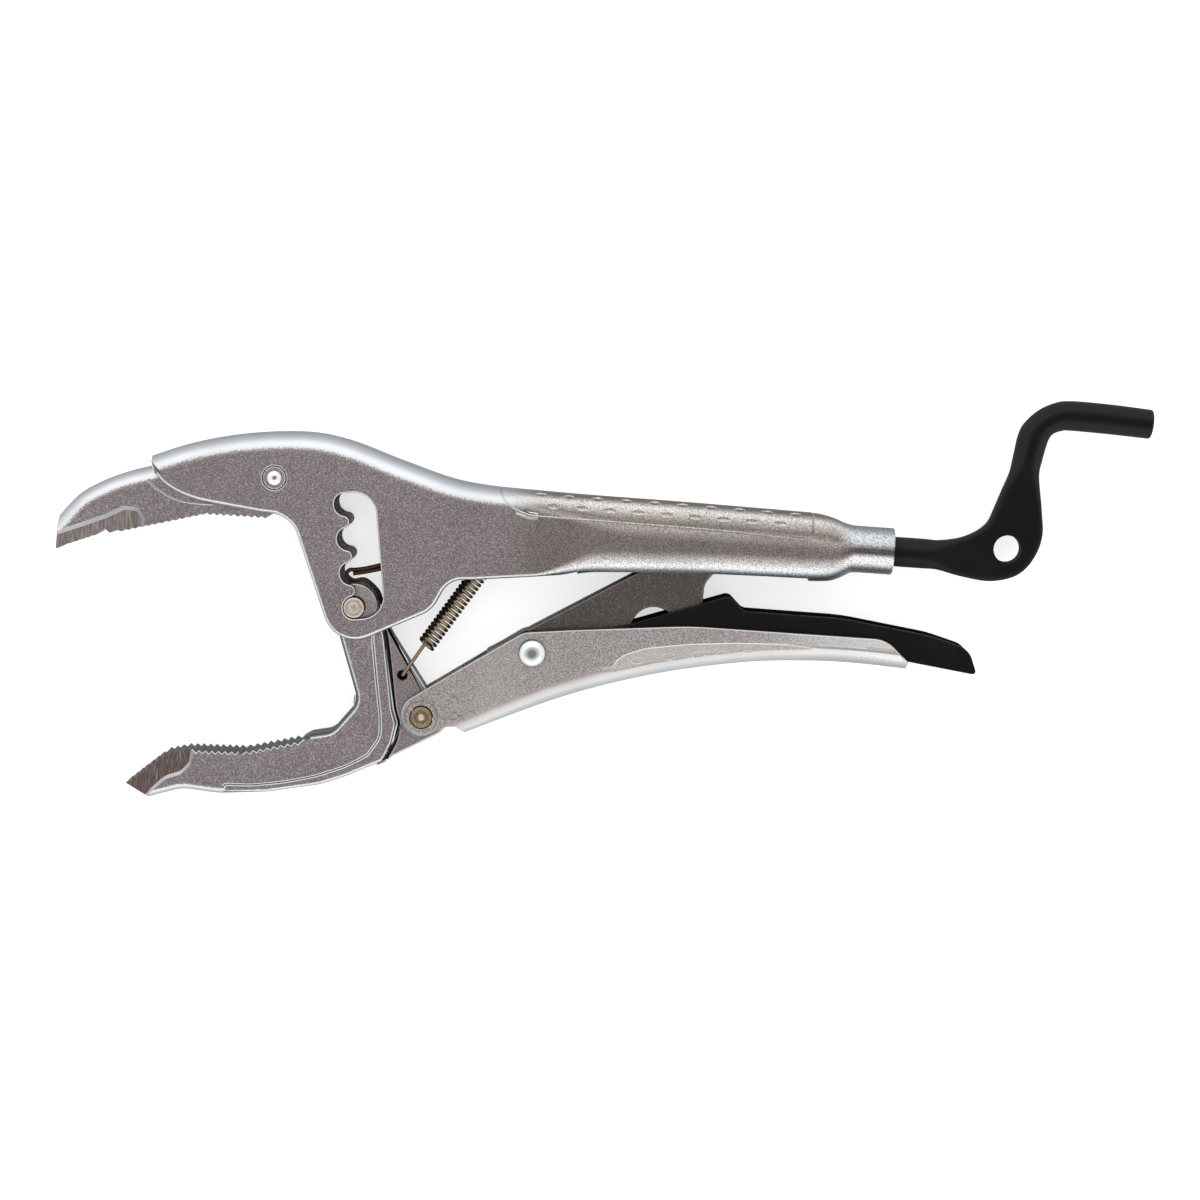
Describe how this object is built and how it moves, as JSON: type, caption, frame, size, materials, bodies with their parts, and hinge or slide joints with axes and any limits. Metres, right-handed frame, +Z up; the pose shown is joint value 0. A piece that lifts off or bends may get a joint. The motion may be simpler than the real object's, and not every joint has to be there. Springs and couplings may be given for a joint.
{
  "type": "locking pliers",
  "caption": "Large-mouth locking pliers with a slotted jaw pivot, toggle-locked handle, release lever and a crank on the adjusting screw.",
  "frame": {"origin": "middle of the underside of the box round the tool as it lies on its side", "axes": "+X along the adjusting screw towards the crank, +Y from the handle towards the back of the body, +Z up through the thickness"},
  "size_m": [0.3556, 0.1496, 0.0217],
  "materials": {
    "pressed_body": "satin nickel, fine grain on the side walls, brighter on the rounded back",
    "forged_jaw": "satin nickel over a forging, brighter edges",
    "jaw_rivet": "satin nickel, brushed",
    "pale_pin": "pale plain steel",
    "washer": "plain steel",
    "keeper_wire": "dark oiled spring steel",
    "front_rivet": "yellow-passivated zinc",
    "pressed_handle": "satin nickel, brighter along the rounded bottom",
    "dome_rivet": "bright zinc",
    "toggle_link": "gunmetal, fine grain",
    "release_lever": "black, half gloss",
    "spring_wire": "dark spring steel with a brassy sheen",
    "crank": "matte black oxide"
  },
  "bodies": {
    "body": {"body_shell": "pressed_body", "upper_jaw": "forged_jaw", "upper_jaw_rivet": "jaw_rivet", "spring_anchor_pin": "pale_pin", "jaw_spring": "spring_wire"},
    "pivot_pin": {"jaw_pivot_pin": "pale_pin", "pivot_washer_near": "washer", "pivot_washer_far": "washer"},
    "jaw": {"lower_jaw": "forged_jaw", "keeper_wire": "keeper_wire", "front_rivet": "front_rivet"},
    "handle": {"lower_handle": "pressed_handle", "link_rivet": "dome_rivet"},
    "link": {"toggle_link": "toggle_link"},
    "lever": {"release_lever": "release_lever"},
    "thrust_cap": {"thrust_cap": "pale_pin"},
    "screw": {"crank_screw": "crank", "screw_stop_ring": "spring_wire"}
  },
  "joints": [
    {"name": "jaw_shift", "type": "hinge", "parent": "body", "child": "pivot_pin", "pos_m": [-0.06528, -0.02857, 0.0095], "axis": [0, 0, 1], "range_deg": [-13.9, 0], "deforming": ["jaw_spring"]},
    {"name": "jaw_swing", "type": "hinge", "parent": "pivot_pin", "child": "jaw", "pos_m": [-0.07908, -0.00827, 0.0095], "axis": [0, 0, 1], "range_deg": [0, 9]},
    {"name": "handle_swing", "type": "hinge", "parent": "jaw", "child": "handle", "pos_m": [-0.05508, -0.04327, 0.0095], "axis": [0, 0, 1], "range_deg": [-36, 0], "deforming": ["jaw_spring"]},
    {"name": "link_swing", "type": "hinge", "parent": "handle", "child": "link", "pos_m": [-0.01998, -0.01907, 0.0095], "axis": [0, 0, 1], "range_deg": [0, 44]},
    {"name": "lever_lift", "type": "hinge", "parent": "handle", "child": "lever", "pos_m": [-0.01998, -0.01907, 0.0095], "axis": [0, 0, 1], "range_deg": [0, 5]},
    {"name": "screw_travel", "type": "slide", "parent": "body", "child": "thrust_cap", "axis": [1, 0, 0], "range_m": [0, 0.0092]},
    {"name": "screw_turn", "type": "hinge", "parent": "thrust_cap", "child": "screw", "pos_m": [0.07092, 0.02143, 0.0095], "axis": [1, 0, 0], "range_deg": [0, 2160]}
  ],
  "couplings": [
    {"joint": "jaw_swing", "follows": "handle_swing", "ratio": -0.25},
    {"joint": "link_swing", "follows": "handle_swing", "ratio": -1.22},
    {"joint": "screw_travel", "follows": "screw_turn", "m_per_rad": 0.00023873}
  ]
}
